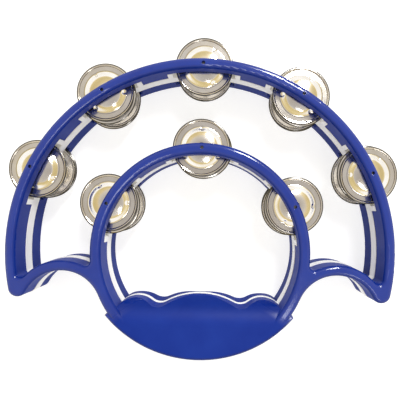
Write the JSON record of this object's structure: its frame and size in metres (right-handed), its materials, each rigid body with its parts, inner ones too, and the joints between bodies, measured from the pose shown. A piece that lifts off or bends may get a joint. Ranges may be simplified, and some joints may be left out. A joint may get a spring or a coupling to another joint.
{
  "type": "half-moon tambourine",
  "caption": "Headless half-moon tambourine: a crescent frame with a hand ring, a scalloped grip and jingles that slide on pins.",
  "frame": {"origin": "middle of the whole object's box, on the plane of the rear face", "axes": "+Z from the rear face to the front face, +Y from the grip towards the crescent's top, +X to the right seen from the front"},
  "size_m": [0.2674, 0.2205, 0.046],
  "materials": {
    "blue_shell": "moulded gloss plastic, deep royal blue, finely grained on the grip",
    "white_frame": "moulded white plastic, satin",
    "jingle_metal": "stamped and polished nickel-plated sheet, slightly warm",
    "pin_steel": "drawn steel wire"
  },
  "bodies": {
    "frame": {"front_shell": "blue_shell", "mid_frame": "white_frame", "rear_shell": "blue_shell", "pin_top": "pin_steel", "pin_upper_left": "pin_steel", "pin_upper_right": "pin_steel", "pin_side_left": "pin_steel", "pin_side_right": "pin_steel", "pin_ring_top": "pin_steel", "pin_ring_left": "pin_steel", "pin_ring_right": "pin_steel"},
    "jingle_top_front_inner": {"jingle_top_front_inner": "jingle_metal"},
    "jingle_top_front_outer": {"jingle_top_front_outer": "jingle_metal"},
    "jingle_top_rear_outer": {"jingle_top_rear_outer": "jingle_metal"},
    "jingle_top_rear_inner": {"jingle_top_rear_inner": "jingle_metal"},
    "jingle_upper_left_front_inner": {"jingle_upper_left_front_inner": "jingle_metal"},
    "jingle_upper_left_front_outer": {"jingle_upper_left_front_outer": "jingle_metal"},
    "jingle_upper_left_rear_outer": {"jingle_upper_left_rear_outer": "jingle_metal"},
    "jingle_upper_left_rear_inner": {"jingle_upper_left_rear_inner": "jingle_metal"},
    "jingle_upper_right_front_inner": {"jingle_upper_right_front_inner": "jingle_metal"},
    "jingle_upper_right_front_outer": {"jingle_upper_right_front_outer": "jingle_metal"},
    "jingle_upper_right_rear_outer": {"jingle_upper_right_rear_outer": "jingle_metal"},
    "jingle_upper_right_rear_inner": {"jingle_upper_right_rear_inner": "jingle_metal"},
    "jingle_side_left_front_inner": {"jingle_side_left_front_inner": "jingle_metal"},
    "jingle_side_left_front_outer": {"jingle_side_left_front_outer": "jingle_metal"},
    "jingle_side_left_rear_outer": {"jingle_side_left_rear_outer": "jingle_metal"},
    "jingle_side_left_rear_inner": {"jingle_side_left_rear_inner": "jingle_metal"},
    "jingle_side_right_front_inner": {"jingle_side_right_front_inner": "jingle_metal"},
    "jingle_side_right_front_outer": {"jingle_side_right_front_outer": "jingle_metal"},
    "jingle_side_right_rear_outer": {"jingle_side_right_rear_outer": "jingle_metal"},
    "jingle_side_right_rear_inner": {"jingle_side_right_rear_inner": "jingle_metal"},
    "jingle_ring_top_front_inner": {"jingle_ring_top_front_inner": "jingle_metal"},
    "jingle_ring_top_front_outer": {"jingle_ring_top_front_outer": "jingle_metal"},
    "jingle_ring_top_rear_outer": {"jingle_ring_top_rear_outer": "jingle_metal"},
    "jingle_ring_top_rear_inner": {"jingle_ring_top_rear_inner": "jingle_metal"},
    "jingle_ring_left_front_inner": {"jingle_ring_left_front_inner": "jingle_metal"},
    "jingle_ring_left_front_outer": {"jingle_ring_left_front_outer": "jingle_metal"},
    "jingle_ring_left_rear_outer": {"jingle_ring_left_rear_outer": "jingle_metal"},
    "jingle_ring_left_rear_inner": {"jingle_ring_left_rear_inner": "jingle_metal"},
    "jingle_ring_right_front_inner": {"jingle_ring_right_front_inner": "jingle_metal"},
    "jingle_ring_right_front_outer": {"jingle_ring_right_front_outer": "jingle_metal"},
    "jingle_ring_right_rear_outer": {"jingle_ring_right_rear_outer": "jingle_metal"},
    "jingle_ring_right_rear_inner": {"jingle_ring_right_rear_inner": "jingle_metal"}
  },
  "joints": [
    {"name": "slide_top_front_inner", "type": "slide", "parent": "frame", "child": "jingle_top_front_inner", "axis": [0, 0, 1], "range_m": [0, 0.0008]},
    {"name": "slide_top_front_outer", "type": "slide", "parent": "jingle_top_front_inner", "child": "jingle_top_front_outer", "axis": [0, 0, 1], "range_m": [0, 0.0008]},
    {"name": "slide_top_rear_outer", "type": "slide", "parent": "frame", "child": "jingle_top_rear_outer", "axis": [0, 0, 1], "range_m": [0, 0.0008]},
    {"name": "slide_top_rear_inner", "type": "slide", "parent": "jingle_top_rear_outer", "child": "jingle_top_rear_inner", "axis": [0, 0, 1], "range_m": [0, 0.0008]},
    {"name": "slide_upper_left_front_inner", "type": "slide", "parent": "frame", "child": "jingle_upper_left_front_inner", "axis": [0, 0, 1], "range_m": [0, 0.0008]},
    {"name": "slide_upper_left_front_outer", "type": "slide", "parent": "jingle_upper_left_front_inner", "child": "jingle_upper_left_front_outer", "axis": [0, 0, 1], "range_m": [0, 0.0008]},
    {"name": "slide_upper_left_rear_outer", "type": "slide", "parent": "frame", "child": "jingle_upper_left_rear_outer", "axis": [0, 0, 1], "range_m": [0, 0.0008]},
    {"name": "slide_upper_left_rear_inner", "type": "slide", "parent": "jingle_upper_left_rear_outer", "child": "jingle_upper_left_rear_inner", "axis": [0, 0, 1], "range_m": [0, 0.0008]},
    {"name": "slide_upper_right_front_inner", "type": "slide", "parent": "frame", "child": "jingle_upper_right_front_inner", "axis": [0, 0, 1], "range_m": [0, 0.0008]},
    {"name": "slide_upper_right_front_outer", "type": "slide", "parent": "jingle_upper_right_front_inner", "child": "jingle_upper_right_front_outer", "axis": [0, 0, 1], "range_m": [0, 0.0008]},
    {"name": "slide_upper_right_rear_outer", "type": "slide", "parent": "frame", "child": "jingle_upper_right_rear_outer", "axis": [0, 0, 1], "range_m": [0, 0.0008]},
    {"name": "slide_upper_right_rear_inner", "type": "slide", "parent": "jingle_upper_right_rear_outer", "child": "jingle_upper_right_rear_inner", "axis": [0, 0, 1], "range_m": [0, 0.0008]},
    {"name": "slide_side_left_front_inner", "type": "slide", "parent": "frame", "child": "jingle_side_left_front_inner", "axis": [0, 0, 1], "range_m": [0, 0.0008]},
    {"name": "slide_side_left_front_outer", "type": "slide", "parent": "jingle_side_left_front_inner", "child": "jingle_side_left_front_outer", "axis": [0, 0, 1], "range_m": [0, 0.0008]},
    {"name": "slide_side_left_rear_outer", "type": "slide", "parent": "frame", "child": "jingle_side_left_rear_outer", "axis": [0, 0, 1], "range_m": [0, 0.0008]},
    {"name": "slide_side_left_rear_inner", "type": "slide", "parent": "jingle_side_left_rear_outer", "child": "jingle_side_left_rear_inner", "axis": [0, 0, 1], "range_m": [0, 0.0008]},
    {"name": "slide_side_right_front_inner", "type": "slide", "parent": "frame", "child": "jingle_side_right_front_inner", "axis": [0, 0, 1], "range_m": [0, 0.0008]},
    {"name": "slide_side_right_front_outer", "type": "slide", "parent": "jingle_side_right_front_inner", "child": "jingle_side_right_front_outer", "axis": [0, 0, 1], "range_m": [0, 0.0008]},
    {"name": "slide_side_right_rear_outer", "type": "slide", "parent": "frame", "child": "jingle_side_right_rear_outer", "axis": [0, 0, 1], "range_m": [0, 0.0008]},
    {"name": "slide_side_right_rear_inner", "type": "slide", "parent": "jingle_side_right_rear_outer", "child": "jingle_side_right_rear_inner", "axis": [0, 0, 1], "range_m": [0, 0.0008]},
    {"name": "slide_ring_top_front_inner", "type": "slide", "parent": "frame", "child": "jingle_ring_top_front_inner", "axis": [0, 0, 1], "range_m": [0, 0.0008]},
    {"name": "slide_ring_top_front_outer", "type": "slide", "parent": "jingle_ring_top_front_inner", "child": "jingle_ring_top_front_outer", "axis": [0, 0, 1], "range_m": [0, 0.0008]},
    {"name": "slide_ring_top_rear_outer", "type": "slide", "parent": "frame", "child": "jingle_ring_top_rear_outer", "axis": [0, 0, 1], "range_m": [0, 0.0008]},
    {"name": "slide_ring_top_rear_inner", "type": "slide", "parent": "jingle_ring_top_rear_outer", "child": "jingle_ring_top_rear_inner", "axis": [0, 0, 1], "range_m": [0, 0.0008]},
    {"name": "slide_ring_left_front_inner", "type": "slide", "parent": "frame", "child": "jingle_ring_left_front_inner", "axis": [0, 0, 1], "range_m": [0, 0.0008]},
    {"name": "slide_ring_left_front_outer", "type": "slide", "parent": "jingle_ring_left_front_inner", "child": "jingle_ring_left_front_outer", "axis": [0, 0, 1], "range_m": [0, 0.0008]},
    {"name": "slide_ring_left_rear_outer", "type": "slide", "parent": "frame", "child": "jingle_ring_left_rear_outer", "axis": [0, 0, 1], "range_m": [0, 0.0008]},
    {"name": "slide_ring_left_rear_inner", "type": "slide", "parent": "jingle_ring_left_rear_outer", "child": "jingle_ring_left_rear_inner", "axis": [0, 0, 1], "range_m": [0, 0.0008]},
    {"name": "slide_ring_right_front_inner", "type": "slide", "parent": "frame", "child": "jingle_ring_right_front_inner", "axis": [0, 0, 1], "range_m": [0, 0.0008]},
    {"name": "slide_ring_right_front_outer", "type": "slide", "parent": "jingle_ring_right_front_inner", "child": "jingle_ring_right_front_outer", "axis": [0, 0, 1], "range_m": [0, 0.0008]},
    {"name": "slide_ring_right_rear_outer", "type": "slide", "parent": "frame", "child": "jingle_ring_right_rear_outer", "axis": [0, 0, 1], "range_m": [0, 0.0008]},
    {"name": "slide_ring_right_rear_inner", "type": "slide", "parent": "jingle_ring_right_rear_outer", "child": "jingle_ring_right_rear_inner", "axis": [0, 0, 1], "range_m": [0, 0.0008]}
  ]
}
